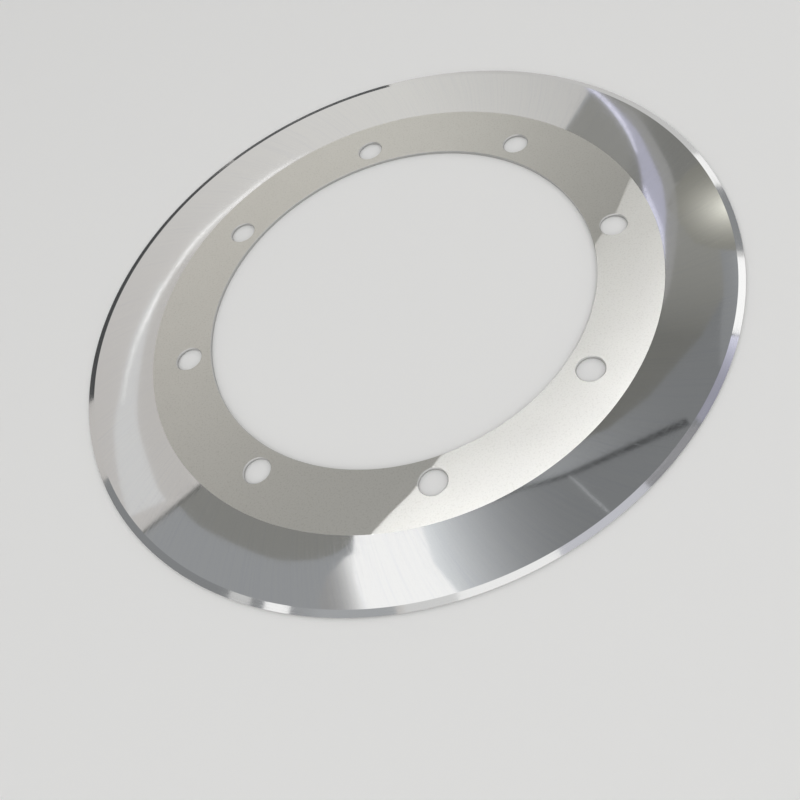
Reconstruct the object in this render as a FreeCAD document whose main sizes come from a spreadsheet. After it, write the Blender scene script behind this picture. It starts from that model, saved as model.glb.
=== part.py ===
import FreeCAD, Part
import os
import Sketcher

# A circular slitter knife: one thin flat ring of hardened steel with a large bore.
# The inner ring is ground flat on both faces and is clamped to a hub by eight bolts. Outside it both faces
# taper gently, so that the cut sheet slides clear, and a narrow double bevel ends in the cutting edge.
# The knife lies on its lower face: Z points up, and the origin is the bore's centre at that face.

SIZES = (
    ("cutting_diameter", 280, "across the cutting edge"),
    ("bore_diameter", 167, "the bore that seats on the hub"),
    ("body_thickness", 1.5, "the flat ring, from face to face"),
    ("inner_land", 4.5, "flat metal between the bore and the bolt holes"),
    ("bolt_hole_diameter", 11, "clear holes for the clamping bolts"),
    ("bolt_hole_count", 8, "spaced evenly round the ring"),
    ("clamp_land", 11, "flat metal between the bolt holes and the start of the taper"),
    ("taper_fall", 0.2, "how far each face falls from the start of the taper to the edge bevel"),
    ("edge_bevel_width", 2.7, "each ground bevel, measured along the radius"),
    ("bore_chamfer", 0.2, "broken edge of the bore, 45 degrees"),
    ("hole_chamfer", 0.35, "broken edge of each bolt hole, 45 degrees"),
)

# The radii that follow from the sizes, from the bore outwards.
BORE_RADIUS = "Sizes.bore_diameter / 2"
BOLT_CIRCLE_RADIUS = BORE_RADIUS + " + Sizes.inner_land + Sizes.bolt_hole_diameter / 2"
FLAT_RING_RADIUS = BOLT_CIRCLE_RADIUS + " + Sizes.bolt_hole_diameter / 2 + Sizes.clamp_land"
EDGE_RADIUS = "Sizes.cutting_diameter / 2"
BEVEL_RADIUS = EDGE_RADIUS + " - Sizes.edge_bevel_width"

# How a sketch's constraints name its own axes and the two ends of a line.
X_AXIS, Z_AXIS = -1, -2
START, END = 1, 2

VOLUME_TOLERANCE = 0.001


def make_sheet(doc):
    """The driving dimensions, in millimetres, one row each: name, value, meaning."""
    sheet = doc.addObject("Spreadsheet::Sheet", "Sizes")
    for row, (alias, value, meaning) in enumerate(SIZES, start=1):
        sheet.set("A%d" % row, alias)
        sheet.set("B%d" % row, str(value))
        sheet.set("C%d" % row, meaning)
        sheet.setAlias("B%d" % row, alias)
    doc.recompute()
    return sheet


def origin_feature(body, role):
    """A plane or axis of the body's own origin."""
    for feature in body.Origin.OriginFeatures:
        if feature.Role == role:
            return feature
    raise ValueError("no origin feature has the role " + role)


def section_sketch(body, name):
    """An upright sketch through the knife's axis: its x is the radius and its y is the height."""
    sketch = body.newObject("Sketcher::SketchObject", name)
    sketch.AttachmentSupport = [(origin_feature(body, "XZ_Plane"), "")]
    sketch.MapMode = "FlatFace"
    return sketch


def draw_outline(sketch, corners):
    """Straight lines from corner to corner, closed and joined. Line n starts at corner n."""
    points = [FreeCAD.Vector(x, y, 0) for x, y in corners]
    for line, point in enumerate(points):
        following = points[(line + 1) % len(points)]
        sketch.addGeometry(Part.LineSegment(point, following), False)
    for line in range(len(points)):
        following = (line + 1) % len(points)
        sketch.addConstraint(Sketcher.Constraint("Coincident", line, END, following, START))


def draw_construction_line(sketch, start, end):
    first = FreeCAD.Vector(start[0], start[1], 0)
    last = FreeCAD.Vector(end[0], end[1], 0)
    return sketch.addGeometry(Part.LineSegment(first, last), True)


def dimension(sketch, name, kind, line, expression):
    """The distance from the sketch's origin to the start of a line, bound to the sheet."""
    value = getattr(sketch.Geometry[line].StartPoint, "x" if kind == "DistanceX" else "y")
    index = sketch.addConstraint(Sketcher.Constraint(kind, X_AXIS, START, line, START, value))
    sketch.renameConstraint(index, name)
    sketch.setExpression("Constraints." + name, expression)


def turn_disc(doc, body, sheet):
    """The ring's ground section, turned round the axis."""
    bore = sheet.bore_diameter / 2
    ring = bore + sheet.inner_land + sheet.bolt_hole_diameter + sheet.clamp_land
    edge = sheet.cutting_diameter / 2
    bevel = edge - sheet.edge_bevel_width
    top = sheet.body_thickness
    middle = top / 2
    fall = sheet.taper_fall
    chamfer = sheet.bore_chamfer

    sketch = section_sketch(body, "ring_section")
    draw_outline(sketch, (
        (bore + chamfer, 0),
        (ring, 0),
        (bevel, fall),
        (edge, middle),
        (bevel, top - fall),
        (ring, top),
        (bore + chamfer, top),
        (bore, top - chamfer),
        (bore, chamfer),
    ))
    bottom_inner, bottom_ring, bottom_bevel, tip = range(4)
    top_bevel, top_ring, top_inner, wall_top, wall_bottom = range(4, 9)
    mid_line = draw_construction_line(sketch, (0, middle), (edge, middle))

    # The lower face lies on the x axis, and the upper half mirrors the lower one about the middle line.
    sketch.addConstraint(Sketcher.Constraint("PointOnObject", bottom_inner, START, X_AXIS))
    sketch.addConstraint(Sketcher.Constraint("PointOnObject", bottom_ring, START, X_AXIS))
    sketch.addConstraint(Sketcher.Constraint("PointOnObject", mid_line, START, Z_AXIS))
    sketch.addConstraint(Sketcher.Constraint("Horizontal", mid_line))
    sketch.addConstraint(Sketcher.Constraint("Coincident", mid_line, END, tip, START))
    for lower, upper in (
        (bottom_inner, top_inner),
        (bottom_ring, top_ring),
        (bottom_bevel, top_bevel),
        (wall_bottom, wall_top),
    ):
        sketch.addConstraint(Sketcher.Constraint("Symmetric", lower, START, upper, START, mid_line))

    dimension(sketch, "middle_height", "DistanceY", mid_line, "Sizes.body_thickness / 2")
    dimension(sketch, "bore_radius", "DistanceX", wall_bottom, BORE_RADIUS)
    dimension(sketch, "chamfer_height", "DistanceY", wall_bottom, "Sizes.bore_chamfer")
    dimension(sketch, "chamfer_radius", "DistanceX", bottom_inner, BORE_RADIUS + " + Sizes.bore_chamfer")
    dimension(sketch, "flat_ring_radius", "DistanceX", bottom_ring, FLAT_RING_RADIUS)
    dimension(sketch, "bevel_radius", "DistanceX", bottom_bevel, BEVEL_RADIUS)
    dimension(sketch, "taper_fall", "DistanceY", bottom_bevel, "Sizes.taper_fall")
    dimension(sketch, "edge_radius", "DistanceX", tip, EDGE_RADIUS)

    disc = body.newObject("PartDesign::Revolution", "turned_ring")
    disc.Profile = sketch
    disc.ReferenceAxis = (sketch, ["V_Axis"])
    disc.Angle = 360
    doc.recompute()
    return disc


def drill_bolt_holes(doc, body, sheet):
    """One bolt hole with both of its edges broken, repeated round the bolt circle."""
    hole_radius = sheet.bolt_hole_diameter / 2
    centre = sheet.bore_diameter / 2 + sheet.inner_land + hole_radius
    wall = centre + hole_radius
    chamfer = sheet.hole_chamfer
    top = sheet.body_thickness
    overrun = sheet.body_thickness
    mouth = wall + chamfer + overrun

    sketch = section_sketch(body, "bolt_hole_section")
    draw_outline(sketch, (
        (centre, -overrun),
        (mouth, -overrun),
        (wall, chamfer),
        (wall, top - chamfer),
        (mouth, top + overrun),
        (centre, top + overrun),
    ))
    low_centre, low_mouth, wall_bottom, wall_top, high_mouth, high_centre = range(6)
    hole_axis = draw_construction_line(sketch, (centre, -overrun), (centre, top + overrun))
    sketch.addConstraint(Sketcher.Constraint("Coincident", hole_axis, START, low_centre, START))
    sketch.addConstraint(Sketcher.Constraint("Coincident", hole_axis, END, high_centre, START))
    sketch.addConstraint(Sketcher.Constraint("Vertical", hole_axis))
    sketch.addConstraint(Sketcher.Constraint("Vertical", wall_bottom))
    sketch.addConstraint(Sketcher.Constraint("Horizontal", low_centre))
    sketch.addConstraint(Sketcher.Constraint("Horizontal", high_mouth))
    sketch.addConstraint(Sketcher.Constraint("Vertical", low_mouth, START, high_mouth, START))

    wall_radius = BOLT_CIRCLE_RADIUS + " + Sizes.bolt_hole_diameter / 2"
    mouth_radius = wall_radius + " + Sizes.hole_chamfer + Sizes.body_thickness"
    dimension(sketch, "hole_centre", "DistanceX", low_centre, BOLT_CIRCLE_RADIUS)
    dimension(sketch, "hole_wall", "DistanceX", wall_bottom, wall_radius)
    dimension(sketch, "mouth_wall", "DistanceX", low_mouth, mouth_radius)
    dimension(sketch, "low_chamfer", "DistanceY", wall_bottom, "Sizes.hole_chamfer")
    dimension(sketch, "high_chamfer", "DistanceY", wall_top, "Sizes.body_thickness - Sizes.hole_chamfer")
    dimension(sketch, "high_overrun", "DistanceY", high_mouth, "2 * Sizes.body_thickness")
    low_overrun = sketch.addConstraint(
        Sketcher.Constraint("DistanceY", low_centre, START, X_AXIS, START, overrun)
    )
    sketch.renameConstraint(low_overrun, "low_overrun")
    sketch.setExpression("Constraints.low_overrun", "Sizes.body_thickness")

    hole = body.newObject("PartDesign::Groove", "bolt_hole")
    hole.Profile = sketch
    hole.ReferenceAxis = (sketch, ["Axis0"])
    hole.Angle = 360
    doc.recompute()

    bolt_circle = body.newObject("PartDesign::PolarPattern", "bolt_circle")
    bolt_circle.Originals = [hole]
    bolt_circle.Axis = (origin_feature(body, "Z_Axis"), [""])
    bolt_circle.Angle = 360
    bolt_circle.setExpression("Occurrences", "Sizes.bolt_hole_count")
    body.Tip = bolt_circle
    doc.recompute()
    return hole, bolt_circle


def check_document(doc):
    """Stops if any feature failed or any piece isn't one valid solid."""
    for item in doc.Objects:
        if "Invalid" in item.State or "Error" in item.State:
            raise RuntimeError(item.Name + " did not compute")
    for body in doc.findObjects("PartDesign::Body"):
        if body.Shape.isNull() or not body.Shape.isValid() or len(body.Shape.Solids) != 1:
            raise RuntimeError(body.Label + " is not one valid solid")


def check_holes(disc, hole, bolt_circle, count):
    """Stops if a hole cut nothing, or if the pattern's holes don't each take away the same volume."""
    one_hole = disc.Shape.Volume - hole.Shape.Volume
    all_holes = disc.Shape.Volume - bolt_circle.Shape.Volume
    if one_hole <= 0 or abs(all_holes / one_hole - count) > VOLUME_TOLERANCE:
        raise RuntimeError("the bolt holes are not all cut")


def main():
    doc = FreeCAD.newDocument("circular_slitter_knife")
    sheet = make_sheet(doc)
    knife = doc.addObject("PartDesign::Body", "knife_disc")
    knife.Label = "knife_disc"
    disc = turn_disc(doc, knife, sheet)
    hole, bolt_circle = drill_bolt_holes(doc, knife, sheet)
    check_document(doc)
    check_holes(disc, hole, bolt_circle, sheet.bolt_hole_count)
    os.makedirs("parts", exist_ok=True)
    knife.Shape.exportStep("parts/" + knife.Label + ".step")


main()
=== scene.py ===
from math import cos, pi, radians, sin

import bmesh
import bpy
from mathutils import Matrix, Vector


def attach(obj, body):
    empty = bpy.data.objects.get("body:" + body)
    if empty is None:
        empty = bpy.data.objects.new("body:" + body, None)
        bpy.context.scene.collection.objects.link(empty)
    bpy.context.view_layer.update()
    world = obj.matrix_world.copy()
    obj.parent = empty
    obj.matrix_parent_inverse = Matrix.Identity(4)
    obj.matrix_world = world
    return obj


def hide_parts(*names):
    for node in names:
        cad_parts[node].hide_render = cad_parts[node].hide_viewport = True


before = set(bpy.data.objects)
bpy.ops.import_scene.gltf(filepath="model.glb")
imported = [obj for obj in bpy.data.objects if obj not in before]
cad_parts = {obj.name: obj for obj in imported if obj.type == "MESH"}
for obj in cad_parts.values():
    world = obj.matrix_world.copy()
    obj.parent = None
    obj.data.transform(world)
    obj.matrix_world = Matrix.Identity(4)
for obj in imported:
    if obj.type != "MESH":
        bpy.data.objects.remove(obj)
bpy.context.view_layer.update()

# ---------------------------------------------------------------------------------------------
# Camera: a close three-quarter look down at the knife, tilted to one side, as in the photograph.
# Its lens is shifted sideways, which gives the photograph's framing without turning the camera.
# ---------------------------------------------------------------------------------------------
CAMERA_AZIMUTH = radians(7.89)
CAMERA_ELEVATION = radians(54.093)
CAMERA_ROLL = radians(-23.356)
CAMERA_PLACE = Vector((0.01587, -0.27157, 0.28192))   # metres, before the turn by its azimuth
CAMERA_LENS = 41.706                                  # millimetres
CAMERA_FRAME_WIDTH = 36                               # millimetres
CAMERA_SHIFT = -0.106                                 # of the frame's width
CAMERA_REACH = (0.01, 50)                             # metres, the nearest and farthest it sees

turn_to_camera = Matrix.Rotation(CAMERA_AZIMUTH, 4, "Z")
camera_data = bpy.data.cameras.new("camera")
camera_data.sensor_width = CAMERA_FRAME_WIDTH
camera_data.lens = CAMERA_LENS
camera_data.shift_x = CAMERA_SHIFT
camera_data.clip_start, camera_data.clip_end = CAMERA_REACH
camera = bpy.data.objects.new("camera", camera_data)
bpy.context.scene.collection.objects.link(camera)
camera.matrix_world = (
    turn_to_camera
    @ Matrix.Translation(CAMERA_PLACE)
    @ Matrix.Rotation(pi / 2 - CAMERA_ELEVATION, 4, "X")
    @ Matrix.Rotation(CAMERA_ROLL, 4, "Z")
)
bpy.context.scene.camera = camera

# ---------------------------------------------------------------------------------------------
# The knife: one thin ring of hardened steel, cut from plate, ground flat on both faces round its
# bore, lapped to a mirror on the shallow taper and honed to a narrow double bevel at the rim.
# ---------------------------------------------------------------------------------------------
MM = 0.001
EDGE_RADIUS = 140 * MM
BEVEL_RADIUS = 137.3 * MM
FLAT_RING_RADIUS = 110 * MM
BORE_RADIUS = 83.5 * MM
THICKNESS = 1.5 * MM
TAPER_FALL = 0.2 * MM
BORE_CHAMFER = 0.2 * MM
BOLT_CIRCLE_RADIUS = 93.5 * MM
BOLT_HOLE_RADIUS = 5.5 * MM
HOLE_CHAMFER = 0.35 * MM
BOLT_HOLES = 8

RIM_STEPS = 360
HOLE_STEPS = 64
SHARP = radians(10)     # an edge stays crisp where its faces turn more than this
LEEWAY = 0.1 * MM       # a face that reaches this far past a radius lies outside it
LEVEL = 0.01 * MM       # a rim this near to a face's height lies in that face
WELD = 0.001 * MM       # corners nearer than this become one
FLAT_RING, TAPER, EDGE_BEVEL, WALLS = range(4)


def turn_section(form, section, centre, steps):
    """Spins a section, given as (radius, height) points, once round an upright axis."""
    points = [form.verts.new((centre.x + radius, centre.y, height)) for radius, height in section]
    lines = [form.edges.new(ends) for ends in zip(points, points[1:])]
    bmesh.ops.spin(
        form, geom=points + lines, cent=centre, axis=(0, 0, 1),
        angle=2 * pi, steps=steps, use_merge=True,
    )


def chamfered_wall(radius, chamfer):
    """The section of a bore's wall with both of its edges broken, from the lower face up."""
    return (
        (radius + chamfer, 0),
        (radius, chamfer),
        (radius, THICKNESS - chamfer),
        (radius + chamfer, THICKNESS),
    )


def finish_of(face):
    """Which of the four finishes a face of the knife has."""
    reach = max(vertex.co.xy.length for vertex in face.verts)
    if reach > BEVEL_RADIUS + LEEWAY:
        return EDGE_BEVEL
    if reach > FLAT_RING_RADIUS + LEEWAY:
        return TAPER
    return FLAT_RING if abs(face.normal.z) > cos(SHARP) else WALLS


def new_object(name, form):
    """An object at the origin with the finished form as its mesh."""
    mesh = bpy.data.meshes.new(name)
    form.to_mesh(mesh)
    form.free()
    made = bpy.data.objects.new(name, mesh)
    bpy.context.scene.collection.objects.link(made)
    return made


steel = bmesh.new()
axis = Vector((0, 0, 0))
turn_section(steel, (
    (FLAT_RING_RADIUS, 0),
    (BEVEL_RADIUS, TAPER_FALL),
    (EDGE_RADIUS, THICKNESS / 2),
    (BEVEL_RADIUS, THICKNESS - TAPER_FALL),
    (FLAT_RING_RADIUS, THICKNESS),
), axis, RIM_STEPS)
turn_section(steel, chamfered_wall(BORE_RADIUS, BORE_CHAMFER), axis, RIM_STEPS)
for hole in range(BOLT_HOLES):
    bearing = 2 * pi * hole / BOLT_HOLES
    hole_centre = BOLT_CIRCLE_RADIUS * Vector((cos(bearing), sin(bearing), 0))
    turn_section(steel, chamfered_wall(BOLT_HOLE_RADIUS, HOLE_CHAMFER), hole_centre, HOLE_STEPS)
for height, facing in ((0, -1), (THICKNESS, 1)):
    rims = [
        edge for edge in steel.edges
        if all(abs(vertex.co.z - height) < LEVEL for vertex in edge.verts)
    ]
    bmesh.ops.triangle_fill(steel, use_beauty=True, edges=rims, normal=(0, 0, facing))
bmesh.ops.remove_doubles(steel, verts=steel.verts, dist=WELD)
bmesh.ops.recalc_face_normals(steel, faces=steel.faces)
for face in steel.faces:
    face.material_index = finish_of(face)
    face.smooth = True
for edge in steel.edges:
    one_finish = len({face.material_index for face in edge.link_faces}) == 1
    edge.smooth = one_finish and edge.calc_face_angle(0) < SHARP
knife = new_object("knife", steel)


def add_node(tree, kind, inputs=None, **settings):
    """A node with its settings. Each input is a plain value or another node's output."""
    made = tree.nodes.new("ShaderNode" + kind)
    for name, value in settings.items():
        setattr(made, name, value)
    for socket, value in (inputs or {}).items():
        if isinstance(value, bpy.types.NodeSocket):
            tree.links.new(value, made.inputs[socket])
        else:
            made.inputs[socket].default_value = value
    return made


def new_steel(name, colour):
    """A bare metal finish of the knife: its node tree and its shader."""
    material = bpy.data.materials.new(name)
    material.use_nodes = True
    knife.data.materials.append(material)
    tree = material.node_tree
    shader = tree.nodes["Principled BSDF"]
    shader.inputs["Base Color"].default_value = (*colour, 1)
    shader.inputs["Metallic"].default_value = 1
    return tree, shader


def grain(tree, size, detail=2.0):
    """Even noise with features of about that size, in metres."""
    place = add_node(tree, "TexCoord").outputs["Object"]
    noise = add_node(tree, "TexNoise", {"Vector": place, "Scale": 1 / size, "Detail": detail})
    return noise.outputs["Fac"]


def hairlines(tree, pitch, length, lean, outward):
    """Noise drawn out into hairlines, seamless round the knife.

    They run outwards or round the axis, and lean is how far they turn about it, in radians per metre.
    """
    round_scale, outward_scale = (1 / pitch, 1 / length) if outward else (1 / length, 1 / pitch)
    place = add_node(tree, "TexCoord").outputs["Object"]
    place = add_node(tree, "SeparateXYZ", {"Vector": place})
    flat = add_node(tree, "CombineXYZ", {"X": place.outputs["X"], "Y": place.outputs["Y"]}).outputs[0]
    reach = add_node(tree, "VectorMath", {0: flat}, operation="LENGTH").outputs["Value"]
    turn = add_node(tree, "Math", {0: reach, 1: -lean}, operation="MULTIPLY").outputs[0]
    swirl = add_node(tree, "VectorRotate", {"Vector": flat, "Angle": turn}, rotation_type="Z_AXIS")
    bearing = add_node(tree, "VectorMath", {0: swirl.outputs[0]}, operation="NORMALIZE").outputs[0]
    spread = add_node(
        tree, "VectorMath", {0: bearing, "Scale": round_scale * EDGE_RADIUS}, operation="SCALE")
    spread = add_node(tree, "SeparateXYZ", {"Vector": spread.outputs[0]})
    rise = add_node(tree, "Math", {0: reach, 1: outward_scale}, operation="MULTIPLY").outputs[0]
    drawn = add_node(
        tree, "CombineXYZ", {"X": spread.outputs["X"], "Y": spread.outputs["Y"], "Z": rise})
    noise = add_node(tree, "TexNoise", {"Vector": drawn.outputs[0], "Scale": 1.0, "Detail": 2.0})
    return noise.outputs["Fac"]


def between(tree, value, span, new_span):
    """A value taken from one span of numbers to another, and held at its ends."""
    return add_node(tree, "MapRange", {
        "Value": value,
        "From Min": span[0], "From Max": span[1],
        "To Min": new_span[0], "To Max": new_span[1],
    }).outputs["Result"]


def plus(tree, first, second):
    """The sum of two values."""
    return add_node(tree, "Math", {0: first, 1: second}, operation="ADD").outputs[0]


def blended(tree, share, first, second):
    """The first colour turning into the second as the share goes from 0 to 1."""
    mixed = add_node(
        tree, "Mix", {"Factor": share, 6: (*first, 1), 7: (*second, 1)}, data_type="RGBA")
    return mixed.outputs[2]


def relief(tree, shader, height, depth):
    """Bump from a height between 0 and 1, with its depth in metres."""
    bump = add_node(tree, "Bump", {"Height": height, "Distance": depth, "Strength": 1.0})
    tree.links.new(bump.outputs["Normal"], shader.inputs["Normal"])


EVEN = (0.3, 0.7)            # nearly all of a noise
STREAKS = (0.45, 0.75)       # its upper half, which leaves broad streaks
SCRATCHES = (0.55, 0.80)     # its peaks, which leave fine scratches

# The flat ring: fine even grit marks, a satin that only blurs what it mirrors.
SATIN_COLOUR = (0.60, 0.59, 0.55)
GRIT_COLOUR = (0.54, 0.53, 0.49)
GRIT_SIZE = 0.7 * MM
GRIT_DEPTH = 0.026 * MM
DEEP_GRIT = (0.52, 0.68)
CLOUD_SIZE = 9 * MM
CLOUD_ROUGHNESS = (0.325, 0.345)
GRIT_ROUGHNESS = (-0.02, 0.02)

tree, shader = new_steel("satin_ground_steel", SATIN_COLOUR)
grit = grain(tree, GRIT_SIZE, detail=3.0)
cloud = grain(tree, CLOUD_SIZE)
satin = plus(
    tree, between(tree, cloud, EVEN, CLOUD_ROUGHNESS), between(tree, grit, EVEN, GRIT_ROUGHNESS))
tree.links.new(satin, shader.inputs["Roughness"])
speckle = blended(tree, between(tree, grit, DEEP_GRIT, (0, 1)), SATIN_COLOUR, GRIT_COLOUR)
tree.links.new(speckle, shader.inputs["Base Color"])
relief(tree, shader, grit, GRIT_DEPTH)

# The taper: a lapped mirror, crossed by fine leaning hairlines from its grinding wheel.
MIRROR_COLOUR = (0.62, 0.62, 0.615)
HAZE_COLOUR = (0.600, 0.602, 0.608)
WHEEL_LEAN = 3.2             # radians per metre
HAZE_PITCH, HAZE_LENGTH = 0.9 * MM, 40 * MM
WHEEL_PITCH, WHEEL_LENGTH = 0.13 * MM, 8 * MM
LAP_PITCH, LAP_LENGTH = 0.10 * MM, 14 * MM
LAPPED_ROUGHNESS = 0.028
WHEEL_ROUGHNESS = (0.0, 0.10)
LAP_ROUGHNESS = (0.0, 0.06)
LAPPED_DEPTH = 0.0002 * MM

tree, shader = new_steel("lapped_steel", MIRROR_COLOUR)
haze = between(tree, hairlines(tree, HAZE_PITCH, HAZE_LENGTH, WHEEL_LEAN, True), STREAKS, (0, 1))
tree.links.new(blended(tree, haze, MIRROR_COLOUR, HAZE_COLOUR), shader.inputs["Base Color"])
wheel = hairlines(tree, WHEEL_PITCH, WHEEL_LENGTH, WHEEL_LEAN, True)
lap = hairlines(tree, LAP_PITCH, LAP_LENGTH, 0, False)
marks = plus(
    tree,
    between(tree, wheel, SCRATCHES, WHEEL_ROUGHNESS),
    between(tree, lap, SCRATCHES, LAP_ROUGHNESS))
tree.links.new(plus(tree, marks, LAPPED_ROUGHNESS), shader.inputs["Roughness"])
relief(tree, shader, plus(tree, wheel, lap), LAPPED_DEPTH)

# The edge bevel: honed bright, with faint lines round the rim.
HONE_PITCH, HONE_LENGTH = 0.12 * MM, 30 * MM
HONED_ROUGHNESS = (0.04, 0.11)
HONED_DEPTH = 0.0008 * MM

tree, shader = new_steel("honed_steel", MIRROR_COLOUR)
hone = hairlines(tree, HONE_PITCH, HONE_LENGTH, 0, False)
tree.links.new(between(tree, hone, STREAKS, HONED_ROUGHNESS), shader.inputs["Roughness"])
relief(tree, shader, hone, HONED_DEPTH)

# The walls of the bore and the bolt holes: machined and left duller.
WALL_COLOUR = (0.50, 0.50, 0.49)
TOOL_MARK_SIZE = 0.3 * MM
TOOL_MARK_DEPTH = 0.004 * MM
WALL_ROUGHNESS = (0.30, 0.42)

tree, shader = new_steel("machined_steel", WALL_COLOUR)
tool_marks = grain(tree, TOOL_MARK_SIZE)
tree.links.new(between(tree, tool_marks, EVEN, WALL_ROUGHNESS), shader.inputs["Roughness"])
relief(tree, shader, tool_marks, TOOL_MARK_DEPTH)

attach(knife, "root")
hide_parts("knife_disc")

# ---------------------------------------------------------------------------------------------
# Floor: a pale matt table top that the knife lies flat on, wide enough for the views from all
# sides. It has no gloss, and only takes the knife's soft shadow.
# ---------------------------------------------------------------------------------------------
FLOOR_SIZE = 12.0
FLOOR_COLOUR = (0.88, 0.88, 0.87)
FLOOR_ROUGHNESS = 0.9

table = bmesh.new()
bmesh.ops.create_grid(table, x_segments=1, y_segments=1, size=FLOOR_SIZE / 2)
floor = new_object("floor", table)
pale_floor = bpy.data.materials.new("pale_floor")
pale_floor.use_nodes = True
shader = pale_floor.node_tree.nodes["Principled BSDF"]
shader.inputs["Base Color"].default_value = (*FLOOR_COLOUR, 1)
shader.inputs["Roughness"].default_value = FLOOR_ROUGHNESS
shader.inputs["Specular IOR Level"].default_value = 0
floor.data.materials.append(pale_floor)

# ---------------------------------------------------------------------------------------------
# Studio: a pale room, glowing cards that the bright steel mirrors, hung just below a ceiling 2 m
# above the floor, and two small lamps with a shade each. Places are (to the right, ahead) as the
# camera sees them, in metres.
# ---------------------------------------------------------------------------------------------
CEILING = 2.0
CURVE_STEPS = 8
GLOW_FALL = 3.0     # how fast a glow sinks: higher is faster


def curve(points):
    """A smooth line through points, which may carry a width as their third value."""
    ends = [2 * points[0] - points[1], *points, 2 * points[-1] - points[-2]]
    line = []
    for before, start, stop, after in zip(ends, ends[1:], ends[2:], ends[3:]):
        for step in range(CURVE_STEPS):
            t = step / CURVE_STEPS
            line.append(0.5 * (
                2 * start + t * (stop - before)
                + t * t * (2 * before - 5 * start + 4 * stop - after)
                + t ** 3 * (3 * start - before - 3 * stop + after)
            ))
    return line + [points[-1]]


def between_curves(first, second):
    """The corners of a card between two smooth lines that run the same way."""
    sides = [curve([Vector(point) for point in side]) for side in (first, second)]
    return [tuple(point) for point in sides[0] + sides[1][::-1]]


def ribbon(points):
    """The corners of a curved strip, from points of (right, ahead, width) along its middle."""
    line = curve([Vector(point) for point in points])
    sides = ([], [])
    for index, point in enumerate(line):
        along = line[min(index + 1, len(line) - 1)].xy - line[max(index - 1, 0)].xy
        across = along.orthogonal().normalized() * point.z / 2
        sides[0].append(tuple(point.xy + across))
        sides[1].append(tuple(point.xy - across))
    return sides[0] + sides[1][::-1]


def lit_along(start, stop, end_strength):
    """A glow that sinks to another strength from one place on the card to another."""
    return "along", start, stop, end_strength


def lit_round(centre, radius, rim_strength):
    """A glow that sinks to another strength from a centre outwards."""
    return "round", centre, radius, rim_strength


COOL = (0.97, 1.0, 1.03)
WARM = (1.0, 1.0, 0.95)
WHITE = (1.0, 1.0, 1.0)
VIOLET = (0.93, 0.93, 1.12)

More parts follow.
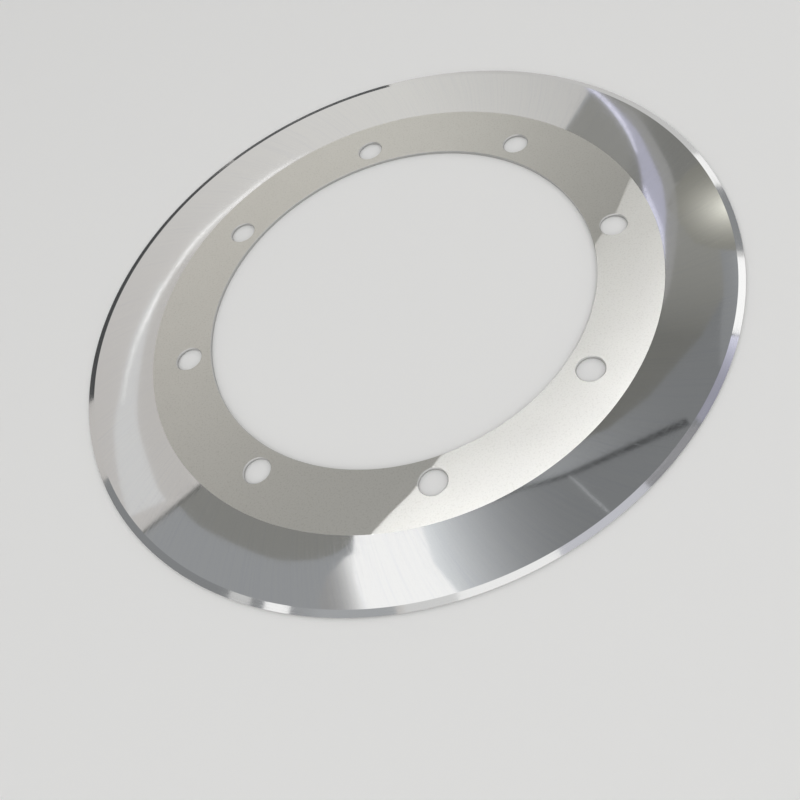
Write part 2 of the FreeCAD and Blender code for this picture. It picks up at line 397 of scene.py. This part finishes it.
CARDS = (
    # name, colour, strength, how far it hangs below the ceiling, corners, how its glow sinks
    ("dark_ceiling", COOL, 0.45, 0.00,
     ((-1.6, 1.25), (-0.93, 1.50), (0.71, 2.395), (1.0, 2.675), (1.6, 3.2), (1.6, 0.3), (-1.6, 0.3)),
     None),
    ("ceiling_gap", WARM, 0.18, 0.02,
     ((-0.93, 1.505), (-1.14, 1.425), (-1.14, 1.410), (-0.93, 1.485)), None),
    ("left_panel", WARM, 0.33, 0.01,
     between_curves(
         ((-1.009, 1.456), (-0.94, 1.334), (-0.763, 1.143), (-0.651, 1.078), (-0.572, 1.058),
          (-0.515, 1.068), (-0.480, 1.10)),
         ((-1.009, 1.456), (-0.7, 1.62), (-0.3, 1.6))), None),
    ("lower_panel", COOL, 1.35, 0.01,
     ((-0.30, 0.3), (1.6, 0.3), (1.6, 1.2), (0.9, 1.2), (-0.30, 1.2)),
     lit_along((-0.34, 0.9), (0.25, 0.9), 0.29)),
    ("white_strip", WHITE, 1.4, 0.03,
     ((-0.515, 0.74), (-0.52, 0.88), (-0.525, 0.95), (-0.514, 1.02), (-0.481, 1.13), (-0.295, 1.06),
      (-0.295, 0.90), (-0.24, 0.74)), None),
    ("strip_glow", WHITE, 1.2, 0.02,
     ((-0.64, 0.74), (-0.64, 0.94), (-0.60, 1.00), (-0.54, 1.03), (-0.48, 1.04), (-0.50, 0.74)),
     lit_along((-0.525, 0.90), (-0.64, 0.90), 0.45)),
    ("middle_panel", COOL, 0.46, 0.02,
     ((-0.10, 1.00), (0.01, 1.004), (0.15, 0.988), (0.367, 0.988), (0.60, 0.990), (1.4, 1.00),
      (1.4, 1.5), (0.0, 1.5)),
     lit_along((0.15, 1.06), (0.75, 1.02), 0.29)),
    ("right_panel", (1.0, 1.0, 0.94), 0.24, 0.03,
     ((0.20, 1.075), (0.32, 1.077), (0.471, 1.125), (0.704, 1.256), (0.901, 1.42), (1.1, 1.7),
      (1.2, 2.0), (0.2, 2.0)),
     lit_along((0.62, 1.30), (1.0, 1.9), 0.40)),
    ("rim_glow", COOL, 0.52, 0.035,
     between_curves(
         ((0.70, 1.13), (0.775, 1.27), (0.83, 1.36), (0.875, 1.45), (0.91, 1.54), (0.935, 1.63),
          (0.955, 1.72), (0.965, 1.80)),
         ((0.74, 1.11), (0.85, 1.22), (0.95, 1.36), (1.02, 1.52), (1.06, 1.66), (1.09, 1.80))),
     lit_along((0.985, 1.54), (0.880, 1.581), 0.37)),
    ("far_panel", WARM, 0.39, 0.04,
     ((0.4, 1.9), (1.3, 1.9), (1.3, 2.87), (1.0, 2.635), (0.70, 2.380)),
     lit_along((0.955, 2.30), (1.10, 2.21), 0.295)),
    ("ring_glow", WHITE, 1.4, 0.02,
     ((0.0, 2.12), (0.50, 2.32), (0.42, 2.60), (0.22, 2.68), (0.0, 2.70)), None),
    ("left_ring_glow", WHITE, 1.15, 0.02,
     ((-0.90, 1.72), (-0.62, 1.76), (-0.62, 2.25), (-0.86, 2.25), (-0.92, 2.00)), None),
    ("ring_shade", WHITE, 0.03, 0.03,
     ((-0.72, 1.50), (-0.50, 1.25), (-0.25, 1.13), (-0.15, 1.50), (-0.50, 1.75)), None),
    ("slat", COOL, 0.10, 0.04,
     ribbon(((-0.08, 1.004, 0.006), (0.01, 1.003, 0.008), (0.078, 0.994, 0.011), (0.147, 0.988, 0.014),
             (0.219, 0.988, 0.016), (0.363, 0.992, 0.020), (0.533, 0.999, 0.024))), None),
    ("cross_slat", COOL, 0.58, 0.04,
     ribbon(((0.155, 0.985, 0.004), (0.172, 0.944, 0.006), (0.185, 0.904, 0.006), (0.212, 0.83, 0.006))),
     None),
    ("grey_band", (1.0, 1.0, 0.98), 0.45, 0.05,
     between_curves(
         ((0.883, 2.559), (0.909, 2.474), (0.925, 2.359), (0.932, 2.229), (0.923, 2.124), (0.895, 1.940),
          (0.830, 1.758), (0.74, 1.59), (0.66, 1.45)),
         ((0.883, 2.559), (0.923, 2.472), (0.961, 2.341), (0.966, 2.221), (0.955, 2.071), (0.941, 1.961),
          (0.906, 1.847), (0.849, 1.712), (0.729, 1.507), (0.66, 1.42))), None),
    ("violet_strip", VIOLET, 0.68, 0.06,
     between_curves(
         ((0.863, 2.584), (0.886, 2.491), (0.898, 2.353), (0.895, 2.232), (0.874, 2.096), (0.842, 1.982),
          (0.80, 1.88), (0.75, 1.78), (0.70, 1.66)),
         ((0.883, 2.559), (0.909, 2.474), (0.925, 2.359), (0.932, 2.229), (0.923, 2.124), (0.895, 1.940),
          (0.863, 1.839), (0.830, 1.758), (0.74, 1.59))), None),
    ("violet_edge", VIOLET, 1.25, 0.07,
     ribbon(((0.878, 2.580, 0.012), (0.899, 2.485, 0.016), (0.907, 2.353, 0.016), (0.902, 2.235, 0.012),
             (0.884, 2.12, 0.006))), None),
    ("violet_glow", VIOLET, 1.10, 0.07,
     ribbon(((0.835, 1.945, 0.006), (0.812, 1.83, 0.022), (0.785, 1.72, 0.032), (0.75, 1.63, 0.030),
             (0.72, 1.56, 0.010))), None),
    ("soft_lamp", (1.0, 0.99, 0.89), 1.50, 0.05,
     ribbon(((0.86, 1.71, 0.20), (0.92, 1.71, 0.34), (1.03, 1.71, 0.46), (1.16, 1.71, 0.34),
             (1.22, 1.71, 0.20))),
     lit_round((1.03, 1.70), 0.26, 0.33)),
    ("inner_shade", (1.03, 1.0, 0.97), 0.745, 0.01,
     ((-0.74, 2.60), (-0.84, 2.61), (-0.91, 2.53), (-0.975, 2.44), (-1.03, 2.34), (-1.08, 2.20),
      (-1.13, 2.00), (-1.14, 1.75), (-1.12, 1.50), (-0.96, 1.50), (-0.93, 1.90), (-0.90, 2.20),
      (-0.78, 2.48)), None),
    ("curved_wedge", WHITE, 0.92, 0.02,
     between_curves(
         ((-0.94, 2.50), (-1.005, 2.375), (-1.075, 2.15), (-1.115, 1.88), (-1.08, 1.60), (-1.05, 1.50)),
         ((-0.96, 2.52), (-1.04, 2.39), (-1.105, 2.255), (-1.17, 2.03), (-1.203, 1.87), (-1.20, 1.655),
          (-1.18, 1.50))), None),
    ("curved_strip", WHITE, 1.9, 0.03,
     ribbon(((-0.24, 2.915, 0.002), (-0.31, 2.905, 0.005), (-0.41, 2.880, 0.010), (-0.50, 2.843, 0.012),
             (-0.593, 2.797, 0.012), (-0.684, 2.748, 0.012), (-0.766, 2.690, 0.013),
             (-0.843, 2.618, 0.013), (-0.912, 2.540, 0.011), (-0.975, 2.455, 0.011),
             (-1.03, 2.363, 0.011), (-1.08, 2.265, 0.006), (-1.13, 2.130, 0.004),
             (-1.165, 1.98, 0.001))), None),
    ("black_flag", WHITE, 0.03, 0.06,
     ((-1.0, 0.34), (0.85, 0.34), (0.85, 0.72), (-1.0, 0.72)), None),
    # The rest are seen only in the edge bevel, or far off in the satin of the flat ring.
    ("near_left_panel", COOL, 0.56, 0.01,
     ((-3.0, 1.95), (-2.05, 1.95), (-1.7, 1.1), (-1.25, 0.6), (-1.0, 0.30), (-0.62, 0.26), (-0.62, -0.8),
      (-3.0, -0.8)),
     lit_along((-0.95, 0.20), (-1.60, 0.66), 0.34)),
    ("near_lamp", WHITE, 1.40, 0.02,
     ribbon(((-1.25, 0.365, 0.22), (-1.18, 0.315, 0.22), (-1.12, 0.275, 0.22))), None),
    ("near_reflector", WHITE, 0.85, 0.02,
     ribbon(((-1.44, 0.52, 0.22), (-1.38, 0.47, 0.22), (-1.32, 0.42, 0.22))), None),
    ("near_strip", WHITE, 0.94, 0.02,
     ((-0.585, -0.3), (-0.32, -0.3), (-0.32, 0.16), (-0.585, 0.22)), None),
    ("key_strip", WHITE, 1.30, 0.03,
     ribbon(((-0.34, -0.05, 0.24), (0.0, -0.06, 0.24), (0.14, -0.04, 0.24))), None),
    ("long_strip", (0.96, 0.97, 1.05), 0.82, 0.02,
     ribbon(((0.10, -0.05, 0.24), (0.25, -0.03, 0.24), (0.45, 0.03, 0.24), (0.62, 0.10, 0.24))), None),
    ("grey_strip", (0.98, 0.98, 1.03), 0.40, 0.01,
     ribbon(((0.60, 0.09, 0.26), (0.75, 0.17, 0.26), (0.90, 0.26, 0.26), (1.06, 0.38, 0.26))), None),
    ("back_light", WHITE, 1.15, 0.02,
     ((-5.0, -7.0), (5.0, -7.0), (5.0, -0.95), (-5.0, -0.95)), None),
    ("side_gap", VIOLET, 1.40, 0.02,
     ((1.02, 0.05), (1.75, 0.25), (1.46, 0.74), (1.2, 0.78), (0.98, 0.42)),
     lit_along((1.46, 0.78), (1.05, 0.40), 0.48)),
    ("side_strip", WHITE, 1.5, 0.02,
     ((1.42, 0.76), (1.75, 0.70), (1.95, 1.30), (1.55, 1.42)), None),
    ("side_panel", COOL, 0.38, 0.02,
     ((1.60, 1.46), (2.2, 1.30), (2.45, 2.08), (1.92, 2.20)), None),
    ("far_strip", WHITE, 1.4, 0.02,
     ((1.92, 2.24), (2.45, 2.12), (2.65, 2.70), (2.05, 2.75)), None),
    ("far_grey_panel", COOL, 0.13, 0.02,
     ((0.7, 8.5), (0.9, 11.4), (-2.3, 11.0), (-1.9, 9.2), (-1.5, 8.6)), None),
    ("far_left_panel", COOL, 0.10, 0.02,
     ((-1.65, 9.2), (-2.3, 7.4), (-2.6, 5.6), (-2.6, 4.2), (-2.45, 3.15), (-3.3, 3.15), (-3.7, 5.0),
      (-3.6, 7.2), (-2.9, 9.6)), None),
)


def glowing(name, colour, strength, varies, shrink):
    """A material that gives off light, even or sinking from one strength to another."""
    material = bpy.data.materials.new(name)
    material.use_nodes = True
    tree = material.node_tree
    tree.nodes.clear()
    glow = add_node(tree, "Emission", {"Color": (*colour, 1), "Strength": strength})
    if varies:
        way, start, reach, end_strength = varies
        place = add_node(tree, "TexCoord").outputs["Object"]
        start = turn_to_camera @ (shrink * Vector((*start, CEILING)))
        if way == "along":
            reach = turn_to_camera @ (shrink * Vector((*reach, CEILING))) - start
            place = add_node(tree, "VectorMath", {0: place, 1: start}, operation="SUBTRACT").outputs[0]
            far = add_node(tree, "VectorMath", {0: place, 1: reach}, operation="DOT_PRODUCT")
            near = between(tree, far.outputs["Value"], (0, reach.length_squared), (1, 0))
        else:
            far = add_node(tree, "VectorMath", {0: place, 1: start}, operation="DISTANCE")
            near = between(tree, far.outputs["Value"], (0, reach), (1, 0))
        near = add_node(tree, "Math", {0: near, 1: GLOW_FALL}, operation="POWER").outputs[0]
        tree.links.new(between(tree, near, (0, 1), (end_strength, strength)), glow.inputs["Strength"])
    add_node(tree, "OutputMaterial", {"Surface": glow.outputs["Emission"]})
    return material


for name, colour, strength, drop, corners, varies in CARDS:
    shrink = 1 - drop / CEILING   # a lower card covers the same part of the ceiling
    sheet = bmesh.new()
    sheet.faces.new([sheet.verts.new((shrink * x, shrink * y, CEILING - drop)) for x, y in corners])
    bmesh.ops.transform(sheet, matrix=turn_to_camera, verts=sheet.verts)
    card = new_object(name, sheet)
    card.data.materials.append(glowing(name, colour, strength, varies, shrink))
    card.visible_camera = False

# Two small lamps light the right part of the knife only. A shade hung below each one cuts its beam
# along the same line across the knife, given as (to the right, ahead) on the knife's upper face.
LAMPS = (
    # name, place, power in watts
    ("left_lamp", (-0.22, 0.39, 1.85), 30.0),
    ("right_lamp", (0.68, 0.47, 1.85), 72.0),
)
LAMP_RADIUS = 0.1 * MM
LAMP_COLOUR = (0.99, 1.0, 1.05)
SHADE_HEIGHT = 1.6
SHADE_LINE = (
    (-0.105, -0.139), (-0.0380, -0.1016), (-0.0078, -0.0843), (0.0827, -0.0183), (0.1083, 0.0062),
    (0.160, 0.062),
)
SHADE_BACK = ((0.25, 0.20), (0.10, 0.35), (-0.30, 0.30), (-0.30, -0.18))

lit_pieces = bpy.data.collections.new("lit_by_lamps")
lit_pieces.objects.link(knife)
shaded = curve([Vector(point) for point in SHADE_LINE]) + [Vector(point) for point in SHADE_BACK]
for name, place, power in LAMPS:
    place = Vector(place)
    lamp_data = bpy.data.lights.new(name, "POINT")
    lamp_data.energy = power
    lamp_data.color = LAMP_COLOUR
    lamp_data.shadow_soft_size = LAMP_RADIUS
    lamp = bpy.data.objects.new(name, lamp_data)
    lamp.matrix_world = turn_to_camera @ Matrix.Translation(place)
    lamp.light_linking.receiver_collection = lit_pieces
    bpy.context.scene.collection.objects.link(lamp)

    reach = (place.z - SHADE_HEIGHT) / (place.z - THICKNESS)
    sheet = bmesh.new()
    sheet.faces.new([
        sheet.verts.new(place.lerp(Vector((*point, THICKNESS)), reach)) for point in shaded
    ])
    bmesh.ops.transform(sheet, matrix=turn_to_camera, verts=sheet.verts)
    shade = new_object(name + "_shade", sheet)
    shade.visible_camera = False
    shade.visible_glossy = False
    shade.visible_diffuse = False

# The pale room round the studio is brightest straight ahead.
ROOM_TONES = (
    # how far to the right, from -1 to 1, and the tone there
    (-0.40, (0.77, 0.745, 0.725)),
    (-0.05, (0.97, 0.955, 0.93)),
    (0.05, (0.97, 0.96, 0.93)),
    (0.25, (0.76, 0.75, 0.735)),
    (0.60, (0.85, 0.85, 0.85)),
)

room = bpy.data.worlds.new("room")
room.use_nodes = True
tree = room.node_tree
tree.nodes.clear()
gaze = add_node(tree, "TexCoord").outputs["Generated"]
to_right = add_node(
    tree, "VectorMath", {0: gaze, 1: turn_to_camera.to_3x3() @ Vector((1, 0, 0))},
    operation="DOT_PRODUCT").outputs["Value"]
walls = add_node(tree, "ValToRGB", {"Fac": between(tree, to_right, (-1, 1), (0, 1))})
tones = walls.color_ramp.elements
for index, (place, tone) in enumerate(ROOM_TONES):
    stop = tones[index] if index < 2 else tones.new(1)   # a new ramp has its first two stops
    stop.position = (place + 1) / 2
    stop.color = (*tone, 1)
lit = add_node(tree, "Background", {"Color": walls.outputs["Color"], "Strength": 1.0})
add_node(tree, "OutputWorld", {"Surface": lit.outputs[0]})
bpy.context.scene.world = room

bpy.context.scene.view_settings.view_transform = "Standard"
